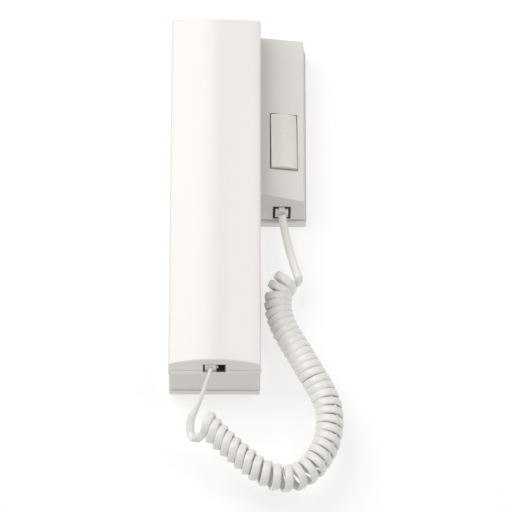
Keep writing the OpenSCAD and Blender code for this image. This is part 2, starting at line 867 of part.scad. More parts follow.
coil_start = heading(coil_line, 0);
coil_end = heading(coil_line, len(coil_line) - 1);

module cord_base_tail() {
    color("whitesmoke") tube(base_tail, cord_d / 2, 8, [0, 0, -1], coil_start);
}

module cord_coil() {
    color("whitesmoke") tube(coil_line, coil_d / 2, 12, coil_start, coil_end);
}

module cord_handset_tail() {
    color("whitesmoke") tube(hand_tail, cord_d / 2, 8, [0, 0, -1], -coil_end);
}

back_plate();
base_cover();
base_circuit_board();
board_screws();
cover_screws();
terminal_block();
terminal_screws();
control_chip();
capacitors();
resistors();
sounder();
sounder_leads();
base_jack();
base_jack_contacts();
door_switch_body();
door_switch_plunger();
hook_switch_body();
hook_switch_plunger();
hook_lever();
hook_lever_pin();
release_button();
handset_front_shell();
handset_back_shell();
handset_screws();
receiver_gasket();
receiver_frame();
receiver_diaphragm();
receiver_magnet();
microphone_boot();
microphone_capsule();
handset_jack();
handset_jack_contacts();
receiver_wires();
microphone_wires();
base_plug();
base_plug_contacts();
handset_plug();
handset_plug_contacts();
cord_base_tail();
cord_coil();
cord_handset_tail();
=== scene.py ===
"""Finishes the door-entry wall handset round its fixed frame: shells, fixings, cord, materials and stage."""

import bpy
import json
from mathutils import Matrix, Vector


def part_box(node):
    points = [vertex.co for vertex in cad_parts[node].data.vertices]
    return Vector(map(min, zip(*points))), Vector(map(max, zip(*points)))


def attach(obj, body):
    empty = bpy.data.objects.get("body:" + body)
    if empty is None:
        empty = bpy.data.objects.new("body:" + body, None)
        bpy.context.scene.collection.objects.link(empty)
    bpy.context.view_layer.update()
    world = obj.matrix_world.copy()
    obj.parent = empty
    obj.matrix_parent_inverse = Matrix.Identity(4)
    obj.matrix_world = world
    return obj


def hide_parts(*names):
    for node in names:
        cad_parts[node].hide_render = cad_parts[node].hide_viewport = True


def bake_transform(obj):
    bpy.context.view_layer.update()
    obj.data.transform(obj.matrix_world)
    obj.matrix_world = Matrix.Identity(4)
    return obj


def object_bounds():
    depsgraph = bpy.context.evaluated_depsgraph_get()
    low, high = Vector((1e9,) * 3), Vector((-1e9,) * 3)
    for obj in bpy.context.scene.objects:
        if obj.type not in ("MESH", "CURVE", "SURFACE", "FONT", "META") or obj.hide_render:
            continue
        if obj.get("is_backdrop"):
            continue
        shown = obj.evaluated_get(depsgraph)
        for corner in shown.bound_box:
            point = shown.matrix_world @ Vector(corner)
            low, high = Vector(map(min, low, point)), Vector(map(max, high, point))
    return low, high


bl_info = {
    "name": "Door-entry wall handset",
    "version": (1, 0, 0),
    "blender": (4, 5, 0),
    "location": "View3D > Sidebar > Handset",
    "description": "Builds a slim wall handset on its base, with a coiled cord",
    "category": "Object",
}

import json
from math import atan2, cos, pi, radians, sin, sqrt, tau

import bmesh
import bpy
import numpy as np
from bpy.props import FloatProperty, FloatVectorProperty, IntProperty, PointerProperty
from mathutils import Matrix, Vector

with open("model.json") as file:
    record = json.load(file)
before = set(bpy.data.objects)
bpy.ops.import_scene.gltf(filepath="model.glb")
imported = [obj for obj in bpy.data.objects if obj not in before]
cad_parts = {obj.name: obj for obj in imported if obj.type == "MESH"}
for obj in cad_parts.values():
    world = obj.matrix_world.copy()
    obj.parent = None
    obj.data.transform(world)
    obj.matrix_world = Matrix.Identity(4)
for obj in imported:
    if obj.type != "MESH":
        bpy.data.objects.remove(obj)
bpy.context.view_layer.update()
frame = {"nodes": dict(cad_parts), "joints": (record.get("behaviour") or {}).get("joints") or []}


def corners():
    """Lowest and highest corner of everything shown, as plain numbers."""
    return [list(corner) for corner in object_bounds()]


MM = 0.001


def node_box(name):
    """Lowest and highest corner of a frame node, as plain vectors."""
    low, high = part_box(name)
    return Vector(low), Vector(high)


# ---------------------------------------------------------------- settings


def length(name, description, millimetres, least=0.0):
    return FloatProperty(
        name=name, description=description, default=millimetres * MM, min=least,
        subtype="DISTANCE", unit="LENGTH", precision=5,
    )


def colour(name, description, default):
    return FloatVectorProperty(
        name=name, description=description, default=default, min=0, max=1, size=3, subtype="COLOR",
    )


class ShellSizes(bpy.types.PropertyGroup):
    """Sizes of the moulded shells."""

    crown: length("Crown", "Rise of the handset's front above its sides", 5.0)
    side_corner: length("Side corner", "Radius where the crown meets the sides", 1.3)
    end_corner: length("End corner", "Radius where the crown meets the ends", 0.7)
    wall: length("Wall", "Thickness of the handset's front shell", 2.0)
    seam: length("Seam", "Width of the chamfer along a seam", 0.22)
    groove: length("Groove", "Height of the shadow line along the handset's seam", 0.32)
    groove_depth: length("Groove depth", "Depth of the handset's shadow line", 0.45)
    edge: length("Edge", "Radius of the base cover's edges", 0.55)
    fine_edge: length("Fine edge", "Radius of small mouldings' edges", 0.2)


class ButtonSizes(bpy.types.PropertyGroup):
    """Sizes of the release button."""

    crown: length("Crown", "Rise of the button across its width", 1.3)
    proud: length("Proud", "How far the button's foot stands out of the wing", 1.8)
    corner: length("Corner", "Radius of the button's front edges", 0.45)
    sign_height: length("Sign height", "Height of the key sign", 9.3)
    sign_rise: length("Sign rise", "How far the key sign stands out", 0.22)


class CordSizes(bpy.types.PropertyGroup):
    """Sizes of the flat coiled cord."""

    width: length("Width", "Width of the flat cord", 4.9)
    thickness: length("Thickness", "Thickness of the flat cord", 2.4)
    coil: length("Coil", "Outer diameter of the coil", 16.4)
    turns: IntProperty(name="Turns", description="Turns in the coil", default=39, min=5)
    loose: FloatProperty(
        name="Loose", description="How far the first turns are drawn out", default=0.7, min=0,
    )


class Finishes(bpy.types.PropertyGroup):
    """Colours of the finishes."""

    handset: colour("Handset", "Warm white of the handset", (0.83, 0.80, 0.765))
    base: colour("Base", "Light warm grey of the base", (0.71, 0.665, 0.63))
    button: colour("Button", "Cream of the release button", (0.74, 0.70, 0.63))
    cord: colour("Cord", "Grey-white of the cord's sheath", (0.80, 0.785, 0.755))
    jack: colour("Jack", "Grey-brown of the jacks", (0.12, 0.10, 0.086))


def settings():
    return bpy.context.scene.wall_handset


# ---------------------------------------------------------------- mesh helpers


def new_piece(name, bm, material, smooth=True):
    """A finished object at the origin from a bmesh, its faces turned outwards."""
    bmesh.ops.recalc_face_normals(bm, faces=bm.faces)
    mesh = bpy.data.meshes.new(name)
    bm.to_mesh(mesh)
    bm.free()
    piece = bpy.data.objects.new(name, mesh)
    bpy.context.scene.collection.objects.link(piece)
    mesh.materials.append(material)
    for face in mesh.polygons:
        face.use_smooth = smooth
    return piece


def loft(rings, closed_ends=True):
    """A bmesh through equal rings of points."""
    bm = bmesh.new()
    rows = [[bm.verts.new(p) for p in ring] for ring in rings]
    for low, high in zip(rows, rows[1:]):
        for k in range(len(low)):
            n = (k + 1) % len(low)
            bm.faces.new((low[k], low[n], high[n], high[k]))
    if closed_ends:
        bm.faces.new(list(reversed(rows[0])))
        bm.faces.new(rows[-1])
    return bm


def box_bmesh(low, high):
    bm = bmesh.new()
    bmesh.ops.create_cube(bm, size=1)
    low, high = Vector(low), Vector(high)
    size, middle = high - low, (high + low) / 2
    for v in bm.verts:
        v.co = Vector((v.co.x * size.x, v.co.y * size.y, v.co.z * size.z)) + middle
    return bm


def cut(piece, bm):
    """Takes a closed bmesh away from a piece."""
    cutter = new_piece("cutter", bm, piece.data.materials[0])
    step = piece.modifiers.new("cut", "BOOLEAN")
    step.operation = "DIFFERENCE"
    step.solver = "EXACT"
    step.object = cutter
    apply_modifiers(piece)
    bpy.data.objects.remove(cutter)


def apply_modifiers(piece):
    bpy.context.view_layer.update()
    graph = bpy.context.evaluated_depsgraph_get()
    mesh = bpy.data.meshes.new_from_object(piece.evaluated_get(graph))
    piece.modifiers.clear()
    piece.data = mesh


def finish_edges(piece, radius, segments=2, limit=38):
    """Rounds the sharp edges of a piece and evens its shading."""
    bevel = piece.modifiers.new("edges", "BEVEL")
    bevel.width = radius
    bevel.segments = segments
    bevel.limit_method = "ANGLE"
    bevel.angle_limit = radians(limit)
    bevel.miter_outer = "MITER_ARC"
    bevel.use_clamp_overlap = True
    bevel.face_strength_mode = "FSTR_ALL"
    normals = piece.modifiers.new("shading", "WEIGHTED_NORMAL")
    normals.keep_sharp = True
    normals.weight = 80
    normals.use_face_influence = True
    return piece


def refined(node, material, radius, segments=2, smooth=True):
    """A merged copy of a frame node with rounded edges, standing for that node."""
    bm = bmesh.new()
    bm.from_mesh(frame["nodes"][node].data)
    bmesh.ops.remove_doubles(bm, verts=bm.verts, dist=2e-6)
    piece = new_piece(node + "_moulding", bm, material, smooth)
    finish_edges(piece, radius, segments)
    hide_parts(node)
    return piece


# ---------------------------------------------------------------- shader groups


def group_tree(name, inputs, outputs):
    tree = bpy.data.node_groups.new(name, "ShaderNodeTree")
    for label, kind, value in inputs:
        socket = tree.interface.new_socket(label, in_out="INPUT", socket_type=kind)
        socket.default_value = value
    for label, kind in outputs:
        tree.interface.new_socket(label, in_out="OUTPUT", socket_type=kind)
    return tree, tree.nodes.new("NodeGroupInput"), tree.nodes.new("NodeGroupOutput")


def noise(tree, coordinate, scale, detail=3.0, roughness=0.5):
    node = tree.nodes.new("ShaderNodeTexNoise")
    node.inputs["Detail"].default_value = detail
    node.inputs["Roughness"].default_value = roughness
    if isinstance(scale, (int, float)):
        node.inputs["Scale"].default_value = scale
    else:
        tree.links.new(scale, node.inputs["Scale"])
    tree.links.new(coordinate, node.inputs["Vector"])
    return node.outputs["Fac"]


def ramp(tree, value, low, high, start, end):
    """Maps a value from low..high to start..end; each may be a number or a socket."""
    node = tree.nodes.new("ShaderNodeMapRange")
    tree.links.new(value, node.inputs["Value"])
    for label, given in (("From Min", low), ("From Max", high), ("To Min", start), ("To Max", end)):
        if isinstance(given, (int, float)):
            node.inputs[label].default_value = given
        else:
            tree.links.new(given, node.inputs[label])
    return node.outputs["Result"]


def arithmetic(tree, operation, a, b):
    node = tree.nodes.new("ShaderNodeMath")
    node.operation = operation
    for socket, given in zip(node.inputs, (a, b)):
        if isinstance(given, (int, float)):
            socket.default_value = given
        else:
            tree.links.new(given, socket)
    return node.outputs[0]


def blend_colours(tree, factor, a, b):
    node = tree.nodes.new("ShaderNodeMix")
    node.data_type = "RGBA"
    tree.links.new(factor, node.inputs["Factor"])
    tree.links.new(a, node.inputs["A"])
    tree.links.new(b, node.inputs["B"])
    return node.outputs["Result"]


def moulded_grain():
    """Spark-eroded grain of a moulding, with faint handling marks and a slow drift of tone."""
    known = bpy.data.node_groups.get("moulded_grain")
    if known:
        return known
    tree, start, end = group_tree(
        "moulded_grain",
        [("Colour", "NodeSocketColor", (0.8, 0.8, 0.8, 1)), ("Shade", "NodeSocketColor", (0.7, 0.7, 0.7, 1)),
         ("Grain Scale", "NodeSocketFloat", 1500.0), ("Smoothest", "NodeSocketFloat", 0.35),
         ("Roughest", "NodeSocketFloat", 0.5)],
        [("Colour", "NodeSocketColor"), ("Roughness", "NodeSocketFloat"), ("Height", "NodeSocketFloat")],
    )
    place = tree.nodes.new("ShaderNodeTexCoord").outputs["Object"]
    drift = ramp(tree, noise(tree, place, 26.0, 2.0), 0.35, 0.7, 0.0, 0.55)
    speck = ramp(tree, noise(tree, place, 900.0, 2.0), 0.62, 0.75, 0.0, 0.35)
    tone = arithmetic(tree, "ADD", drift, speck)
    marks = noise(tree, place, 85.0, 4.0, 0.65)
    roughness = ramp(tree, marks, 0.35, 0.68, start.outputs["Smoothest"], start.outputs["Roughest"])
    fine = noise(tree, place, start.outputs["Grain Scale"], 2.0, 0.6)
    tone_mix = blend_colours(tree, tone, start.outputs["Colour"], start.outputs["Shade"])
    tree.links.new(tone_mix, end.inputs["Colour"])
    tree.links.new(roughness, end.inputs["Roughness"])
    tree.links.new(fine, end.inputs["Height"])
    return tree


def drawn_metal():
    """Fine turning and handling marks on bare metal."""
    known = bpy.data.node_groups.get("drawn_metal")
    if known:
        return known
    tree, start, end = group_tree(
        "drawn_metal",
        [("Colour", "NodeSocketColor", (0.7, 0.7, 0.7, 1)), ("Shade", "NodeSocketColor", (0.5, 0.5, 0.5, 1)),
         ("Smoothest", "NodeSocketFloat", 0.2), ("Roughest", "NodeSocketFloat", 0.45)],
        [("Colour", "NodeSocketColor"), ("Roughness", "NodeSocketFloat"), ("Height", "NodeSocketFloat")],
    )
    place = tree.nodes.new("ShaderNodeTexCoord").outputs["Object"]
    stretch = tree.nodes.new("ShaderNodeMapping")
    stretch.inputs["Scale"].default_value = (1.0, 1.0, 14.0)
    tree.links.new(place, stretch.inputs["Vector"])
    lines = noise(tree, stretch.outputs["Vector"], 420.0, 3.0)
    stains = noise(tree, place, 300.0, 3.0)
    stained = blend_colours(
        tree, ramp(tree, stains, 0.4, 0.7, 0.0, 0.8), start.outputs["Colour"], start.outputs["Shade"])
    tree.links.new(stained, end.inputs["Colour"])
    tree.links.new(ramp(tree, lines, 0.3, 0.7, start.outputs["Smoothest"], start.outputs["Roughest"]),
                   end.inputs["Roughness"])
    tree.links.new(lines, end.inputs["Height"])
    return tree


def grained_material(name, group, values, bump, metallic=0.0, coat=0.0, subsurface=0.0):
    """A Principled finish fed by a grain group."""
    material = bpy.data.materials.get(name)
    if material:
        return material
    material = bpy.data.materials.new(name)
    material.use_nodes = True
    tree = material.node_tree
    shader = tree.nodes["Principled BSDF"]
    shader.inputs["Metallic"].default_value = metallic
    shader.inputs["Coat Weight"].default_value = coat
    shader.inputs["Coat Roughness"].default_value = 0.12
    shader.inputs["Subsurface Weight"].default_value = subsurface
    shader.inputs["Subsurface Radius"].default_value = (0.004, 0.003, 0.002)
    shader.inputs["Subsurface Scale"].default_value = 0.3
    grain = tree.nodes.new("ShaderNodeGroup")
    grain.node_tree = group
    for label, value in values.items():
        grain.inputs[label].default_value = value
    relief = tree.nodes.new("ShaderNodeBump")
    relief.inputs["Strength"].default_value = bump
    relief.inputs["Distance"].default_value = 0.00012
    tree.links.new(grain.outputs["Colour"], shader.inputs["Base Color"])
    tree.links.new(grain.outputs["Roughness"], shader.inputs["Roughness"])
    tree.links.new(grain.outputs["Height"], relief.inputs["Height"])
    tree.links.new(relief.outputs["Normal"], shader.inputs["Normal"])
    return material


def shaded(rgb, share):
    return (*[c * share for c in rgb], 1)


def plastic(name, rgb, smoothest, roughest, grain=1500.0, bump=0.12, dark=0.93, coat=0.0):
    return grained_material(
        name, moulded_grain(),
        {"Colour": (*rgb, 1), "Shade": shaded(rgb, dark), "Grain Scale": grain,
         "Smoothest": smoothest, "Roughest": roughest},
        bump, coat=coat)


def metal(name, rgb, smoothest=0.2, roughest=0.42):
    return grained_material(
        name, drawn_metal(),
        {"Colour": (*rgb, 1), "Shade": shaded(rgb, 0.72), "Smoothest": smoothest, "Roughest": roughest},
        0.15, metallic=1.0)


def finishes():
    """Every finish by its record slot."""
    tones = settings().finishes
    return {
        "handset_plastic": plastic("handset_plastic", tones.handset, 0.3, 0.42, 1700.0, 0.05, 0.965, 0.12),
        "base_plastic": plastic("base_plastic", tones.base, 0.42, 0.56, 1500.0, 0.16, 0.95),
        "button_plastic": plastic("button_plastic", tones.button, 0.3, 0.42, 1700.0, 0.05, 0.96, 0.1),
        # the key sign is embossed in the button plastic; its lighter colour is a painted highlight on the
        # raised glyph
        "key_sign_painted_highlight": plastic("key_sign_painted_highlight", (0.86, 0.83, 0.78), 0.3, 0.42, 1700.0, 0.05, 0.96, 0.1),
        "jack_plastic": plastic("jack_plastic", tones.jack, 0.3, 0.5, 1200.0, 0.2, 0.7),
        "plug_plastic": plastic("plug_plastic", (0.36, 0.34, 0.315), 0.12, 0.25, 900.0, 0.05, 0.8, 0.5),
        "cord_sheath": plastic("cord_sheath", tones.cord, 0.34, 0.5, 800.0, 0.08, 0.93, 0.1),
        "circuit_board": plastic("circuit_board", (0.03, 0.13, 0.05), 0.2, 0.4, 300.0, 0.1, 0.6, 0.4),
        "terminal_plastic": plastic("terminal_plastic", (0.03, 0.24, 0.10), 0.3, 0.45, 1500.0, 0.1, 0.85),
        "black_plastic": plastic("black_plastic", (0.02, 0.02, 0.021), 0.35, 0.55, 1500.0, 0.2, 0.7),
        "white_plastic": plastic("white_plastic", (0.78, 0.77, 0.73), 0.3, 0.45, 1500.0, 0.1, 0.92),
        "capacitor_sleeve": plastic("capacitor_sleeve", (0.02, 0.03, 0.11), 0.2, 0.3, 900.0, 0.05, 0.8, 0.4),
        "resistor_body": plastic("resistor_body", (0.55, 0.40, 0.22), 0.3, 0.5, 900.0, 0.1, 0.8),
        "wire_red": plastic("wire_red", (0.42, 0.02, 0.02), 0.3, 0.45, 900.0, 0.1, 0.8),
        "wire_blue": plastic("wire_blue", (0.02, 0.06, 0.40), 0.3, 0.45, 900.0, 0.1, 0.8),
        "black_rubber": plastic("black_rubber", (0.018, 0.018, 0.018), 0.6, 0.8, 1200.0, 0.35, 0.7),
        "diaphragm": plastic("diaphragm", (0.62, 0.48, 0.22), 0.15, 0.3, 900.0, 0.05, 0.8, 0.3),
        "steel": metal("steel", (0.62, 0.62, 0.60)),
        "contact_metal": metal("contact_metal", (0.83, 0.60, 0.22), 0.12, 0.3),
        "magnet_steel": metal("magnet_steel", (0.42, 0.43, 0.45), 0.3, 0.5),
        "capsule_metal": metal("capsule_metal", (0.70, 0.70, 0.71), 0.2, 0.4),
    }


def paint(node, material):
    """Gives a frame node that stays its finish."""
    for slot in frame["nodes"][node].material_slots:
        slot.material = material


def fit(piece, body):
    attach(piece, body)
    return piece


# ---------------------------------------------------------------- handset


HAND_LEAN = 0.27
FACE_DRAFT = 0.3 * MM
END_STEPS = 5
CORNER_STEPS = 5
CROWN_STEPS = 48


def crown_profile(half_back, half_face, back, side, front, radius, back_plane):
    """Closed outline in X and Y of the crowned section, starting at the back on the left."""
    crown = side - front
    arc_r = (half_face ** 2 + crown ** 2) / (2 * crown)
    centre_y = front + arc_r
    # the corner circle touches the side and the crown's arc from inside
    corner_x = half_face - radius
    corner_y = centre_y - sqrt((arc_r - radius) ** 2 - corner_x ** 2)
    meet = atan2(corner_y - centre_y, corner_x)
    points = [(-half_back, back_plane)]
    right = [(corner_x + radius * cos(a), corner_y + radius * sin(a))
             for a in np.linspace(0, meet, CORNER_STEPS)]
    arc = [(arc_r * cos(a), centre_y + arc_r * sin(a))
           for a in np.linspace(meet, -pi - meet, CROWN_STEPS)]
    left = [(-x, y) for x, y in right]
    points += left + list(reversed(arc[1:-1])) + list(reversed(right))
    return points + [(half_back, back_plane)]


def handset_solid(inset, setbacks, back_plane, corner):
    """Loft of the handset's front between its leaning ends. setbacks are pairs of inset and end distance."""
    low, high = node_box("handset_front_shell")
    whole_low, whole_high = node_box("handset_back_shell")
    sizes = settings().shells
    front = low.y
    side = front + sizes.crown
    half = high.x
    middle = (whole_low.z + whole_high.z) / 2
    back_y = node_box("handset_back_shell")[1].y - 8 * MM
    half_length = (whole_high.z - whole_low.z) / 2

    def ring(extra, distance, sign):
        shrink = inset + extra
        outline = crown_profile(
            half - shrink, half - FACE_DRAFT - shrink, back_y, side + shrink * 0.2, front + shrink,
            max(corner - shrink * 0.4, 0.2 * MM), back_plane)
        return [(x, y, middle + sign * (half_length - HAND_LEAN * (back_y - y) - inset - distance))
                for x, y in outline]

    rings = [ring(e, d, -1) for e, d in setbacks]
    rings += [ring(e, d, 1) for e, d in reversed(setbacks)]
    return loft(rings)


def end_rounding(radius):
    """Inset and distance from the end for each ring of a rounded end."""
    turns = np.linspace(pi / 2, 0, END_STEPS)
    return [(radius * (1 - cos(a)), radius * (1 - sin(a))) for a in turns]


def jack_cutter():
    """The opening in the handset's lower end."""
    low, high = node_box("handset_jack")
    end = node_box("handset_back_shell")[0].z
    plug_low, plug_high = node_box("handset_plug")
    reach = 4.05 * MM
    middle = (plug_low.y + plug_high.y) / 2
    return box_bmesh((low.x + 0.6 * MM, middle - reach, end - 5 * MM),
                     (high.x - 0.2 * MM, middle + reach, end + 8 * MM))


def slab(front, back):
    """A block wider than the handset between two depths."""
    low, high = node_box("handset_back_shell")
    spare = Vector((5, 0, 5)) * MM
    return box_bmesh(Vector((low.x, front, low.z)) - spare, Vector((high.x, back, high.z)) + spare)


class HANDSET_OT_front_shell(bpy.types.Operator):
    """Lofts the crowned front shell and hollows it"""

    bl_idname = "handset.front_shell"
    bl_label = "Handset front shell"

    def execute(self, context):
        sizes = settings().shells
        material = finishes()["handset_plastic"]
        seam = node_box("handset_front_shell")[1].y
        outer = handset_solid(0.0, end_rounding(sizes.end_corner), seam, sizes.side_corner)
        shell = new_piece("handset_front_moulding", outer, material)
        cut(shell, handset_solid(sizes.wall, [(0.0, 0.0)], seam + 3 * MM, 0.5 * MM))
        cut(shell, jack_cutter())
        groove = new_piece("groove", slab(seam - sizes.groove, seam + 0.5 * MM), material)
        cut(groove, handset_solid(sizes.groove_depth, [(0.0, 0.0)], seam + 3 * MM, sizes.side_corner))
        keep = bmesh.new()
        keep.from_mesh(groove.data)
        bpy.data.objects.remove(groove)
        cut(shell, keep)
        finish_edges(shell, sizes.seam, 2)
        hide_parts("handset_front_shell")
        fit(shell, "handset")
        return {"FINISHED"}


class HANDSET_OT_back_shell(bpy.types.Operator):
    """Rounds the back shell's rim, pods and sound holes"""

    bl_idname = "handset.back_shell"
    bl_label = "Handset back shell"

    def execute(self, context):
        shell = refined("handset_back_shell", finishes()["handset_plastic"], settings().shells.seam)
        fit(shell, "handset")
        return {"FINISHED"}


# ---------------------------------------------------------------- base


class BASE_OT_housing(bpy.types.Operator):
    """Rounds the edges of the base cover and back plate"""

    bl_idname = "base.housing"
    bl_label = "Base housing"

    def execute(self, context):
        sizes = settings().shells
        material = finishes()["base_plastic"]
        fit(refined("base_cover", material, sizes.edge, 3, smooth=False), "base")
        fit(refined("back_plate", material, sizes.edge * 0.6, smooth=False), "base")
        return {"FINISHED"}


WING_SLANT = radians(12.2)


PIVOT_DEPTH = 4 * MM
SIGN_MIDDLE = -15.4 * MM
# an upright key: a stem with a hooked bow above and a bit at its foot
KEY_SIGN_TALL = 9.3
KEY_SIGN = [(-1.6, -4.65), (0.5, -4.65), (0.5, 3.5), (1.1, 3.5), (1.1, 2.2), (2.1, 2.2), (2.1, 4.65),
            (-2.1, 4.65), (-2.1, 3.5), (-0.5, 3.5), (-0.5, -3.6), (-1.6, -3.6)]


class BASE_OT_button(bpy.types.Operator):
    """Rounds the release button and raises its key sign, with a painted highlight on the sign"""

    bl_idname = "base.button"
    bl_label = "Release button"

    def execute(self, context):
        material = finishes()["button_plastic"]
        sizes = settings().button
        button = refined("release_button", material, sizes.corner, 3)
        fit(button, "release_button")
        low, high = node_box("release_button")
        pivot = Vector(next(j for j in frame["joints"] if j["name"] == "release_press")["pos_m"])
        tip = atan2(sizes.proud, high.z - low.z)
        place = (Matrix.Translation(pivot) @ Matrix.Rotation(WING_SLANT, 4, "Z")
                 @ Matrix.Translation((0, -PIVOT_DEPTH, high.z - pivot.z)) @ Matrix.Rotation(-tip, 4, "X"))
        scale = sizes.sign_height / KEY_SIGN_TALL
        rings = [[place @ Vector((x * scale, y, SIGN_MIDDLE + z * scale)) for x, z in KEY_SIGN]
                 for y in (-sizes.crown - sizes.sign_rise, -sizes.crown + 0.4 * MM)]
        # the raised key sign gets the lighter finish, a painted highlight rather than the button's own colour
        sign = new_piece("button_sign", loft(rings), finishes()["key_sign_painted_highlight"], smooth=False)
        finish_edges(sign, 0.1 * MM, 2)
        fit(sign, "release_button")
        return {"FINISHED"}


class BASE_OT_jacks(bpy.types.Operator):
    """Finishes both jacks and both plugs"""

    bl_idname = "base.jacks"
    bl_label = "Jacks and plugs"

    def execute(self, context):
        finish = finishes()
        fine = settings().shells.fine_edge
        for node, body, slot in (
            ("base_jack", "base", "jack_plastic"),
            ("handset_jack", "handset", "jack_plastic"),
            ("base_plug", "base", "plug_plastic"),
            ("handset_plug", "handset", "plug_plastic"),
        ):
            fit(refined(node, finish[slot], fine), body)
        return {"FINISHED"}


# ---------------------------------------------------------------- cord


# The cord's route, in millimetres: down from the wing's jack, along the coil, and up to the handset's jack
BASE_TAIL = [(39.8, -12.9, 1.2), (40.6, -13.2, -3.6), (41.5, -14.0, -9.4), (42.9, -15.2, -16.8),
             (44.6, -16.8, -24.6), (47.7, -19.2, -36.2), (49.6, -19.8, -42.2)]
COIL_LINE = [(44.3, -16, -39.6), (41.3, -16, -44.4), (38.4, -16, -48.6),
             (37.6, -16, -52.4), (37.5, -16, -59.2), (38.8, -16, -66), (42, -16, -74),
             (46, -16, -81), (51, -17, -90), (57, -18, -101),
             (62.6, -18, -111), (66.4, -19, -121), (67.2, -20, -131), (65.6, -21, -142),
             (61.4, -22, -151.5), (55, -23, -160), (46, -24, -165.5), (36, -25, -165.5),
             (27, -26, -162), (18, -27, -155.5), (9, -28, -148), (1, -29, -140.5), (-4.6, -30, -134.6)]
HAND_TAIL = [(-10.9, -28.0, -144.3), (-13.2, -26.9, -141.1), (-14.0, -27.2, -137.9), (-13.8, -28.8, -133.9),
             (-12.9, -30.8, -131.0), (-11.4, -33.0, -128.6), (-8.1, -37.2, -123.0), (-5.2, -41.2, -115.2),
             (-2.9, -43.4, -109.2), (-2.3, -43.7, -105.4)]
COIL_START, COIL_END = -12, 14
LINE_STEP, PATH_STEP = 0.4, 1.6
BEND_OPENING = 1.9
TURN_STEP = radians(15)
TAIL_FACE = (-0.94, 0.34, 0)
# Lean of the turns at shares of the coil's length, in degrees: sideways and forwards
LEAN = [(0, 0, 0), (0.06, -4, 0), (0.12, -18, 0), (0.2, -14, 0), (0.33, 0, 0), (0.58, 0, 0),
        (0.72, -12, 0), (0.8, -28, 6), (0.88, -34, 8), (1, -34, 8)]


def spline(points, step):
    """A smooth line through points, evenly spaced along its length."""
    p = np.array(points, float)
    p = np.vstack([2 * p[0] - p[1], p, 2 * p[-1] - p[-2]])
    share = np.linspace(0, 1, 24, endpoint=False)[:, None]
    fine = [0.5 * (2 * b + (c - a) * share + (2 * a - 5 * b + 4 * c - d) * share ** 2
                   + (3 * b - a - 3 * c + d) * share ** 3)
            for a, b, c, d in zip(p, p[1:], p[2:], p[3:])]
    fine = np.vstack(fine + [p[-2:-1]])
    run = along(fine)
    at = np.linspace(0, run[-1], max(int(run[-1] / step), 2))
    return np.stack([np.interp(at, run, fine[:, k]) for k in range(3)], axis=1)


def along(points):
    return np.concatenate([[0], np.cumsum(np.linalg.norm(np.diff(points, axis=0), axis=1))])


def unit(v):
    return v / np.linalg.norm(v, axis=-1, keepdims=True)


def blend_between(value, low, high):
    t = np.clip((value - low) / (high - low), 0, 1)
    return t * t * (3 - 2 * t)


def wind(sizes):
    """Centre and width direction of the flat cord at each point, in millimetres."""
    axis = spline(COIL_LINE, LINE_STEP)
    heading = unit(np.gradient(axis, axis=0))
    run = along(axis)
    share = run / run[-1]
    bend = np.linalg.norm(np.gradient(heading, axis=0), axis=1) / np.gradient(run)
    bend = np.convolve(np.pad(bend, 30, mode="edge"), np.ones(61) / 61, mode="valid")
    bend = bend * blend_between(share, 0.18, 0.3)
    radius = (sizes.coil - sizes.thickness) / 2 / MM
    marks, sideways, forwards = np.array(LEAN).T
    sideways, forwards = (np.radians(np.interp(share, marks, v))[:, None] for v in (sideways, forwards))
    # leaning turns take more room along the axis; turns part in a bend and where the coil is drawn out
    pitch = (1 + BEND_OPENING * radius * bend) / np.cos(sideways[:, 0])
    pitch *= 1 + sizes.loose * (1 - blend_between(share, 0.0, 0.1))
    count = np.concatenate([[0], np.cumsum(np.diff(run) / pitch[1:])])
    whole = 360 * sizes.turns + COIL_START - COIL_END
    angle = np.radians(COIL_START - count / count[-1] * whole)
    # each turn lies in a plane between a forward and a sideways direction, both leaning along the axis
    front = unit(np.array([0, -1.0, 0]) - heading * (heading @ np.array([0, -1.0, 0]))[:, None])
    side = np.cross(front, heading)
    front, side = (front * np.cos(forwards) + heading * np.sin(forwards),
                   side * np.cos(sideways) + heading * np.sin(sideways))
    steps = np.arange(angle[0], angle[-1], -TURN_STEP)
    where = np.interp(-steps, -angle, run)

    def at(values):
        return np.stack([np.interp(where, run, values[:, k]) for k in range(3)], axis=1)

    coil = at(axis) + radius * (np.cos(steps)[:, None] * at(side) + np.sin(steps)[:, None] * at(front))
    coil_width = unit(at(np.cross(side, front)))
    path = spline(np.vstack([BASE_TAIL, coil, HAND_TAIL]), PATH_STEP)
    run = along(path)
    heading = unit(np.gradient(path, axis=0))
    begin = along(spline(np.vstack([BASE_TAIL, coil[:1]]), PATH_STEP))[-1]
    finish = run[-1] - along(spline(np.vstack([coil[-1:], HAND_TAIL]), PATH_STEP))[-1]
    coil_run = begin + along(coil)
    wound = np.stack([np.interp(run, coil_run, coil_width[:, k]) for k in range(3)], axis=1)
    flat = unit(np.array(TAIL_FACE))
    deep = np.array([0, 1.0, 0])
    # the flat cord leaves the wing face on and the handset edge on, and turns to lie on the coil between them
    to_coil = blend_between(run, begin * 0.5, begin + 12)[:, None]
    to_plug = blend_between(run, finish + 6, run[-1] - 12)[:, None]
    width = (flat * (1 - to_coil) + wound * to_coil) * (1 - to_plug) + deep * to_plug
    width = unit(width - heading * np.sum(width * heading, axis=1)[:, None])
    return path, heading, width


def flat_section(sizes, count=14):
    """Outline of the flat cord: nearly round at its edges and slightly domed on its faces."""
    turn = np.arange(count) * tau / count
    edge_power, face_power = 0.62, 0.8
    across = np.sign(np.cos(turn)) * np.abs(np.cos(turn)) ** edge_power * sizes.width / 2
    deep = np.sign(np.sin(turn)) * np.abs(np.sin(turn)) ** face_power * sizes.thickness / 2
    return across, deep


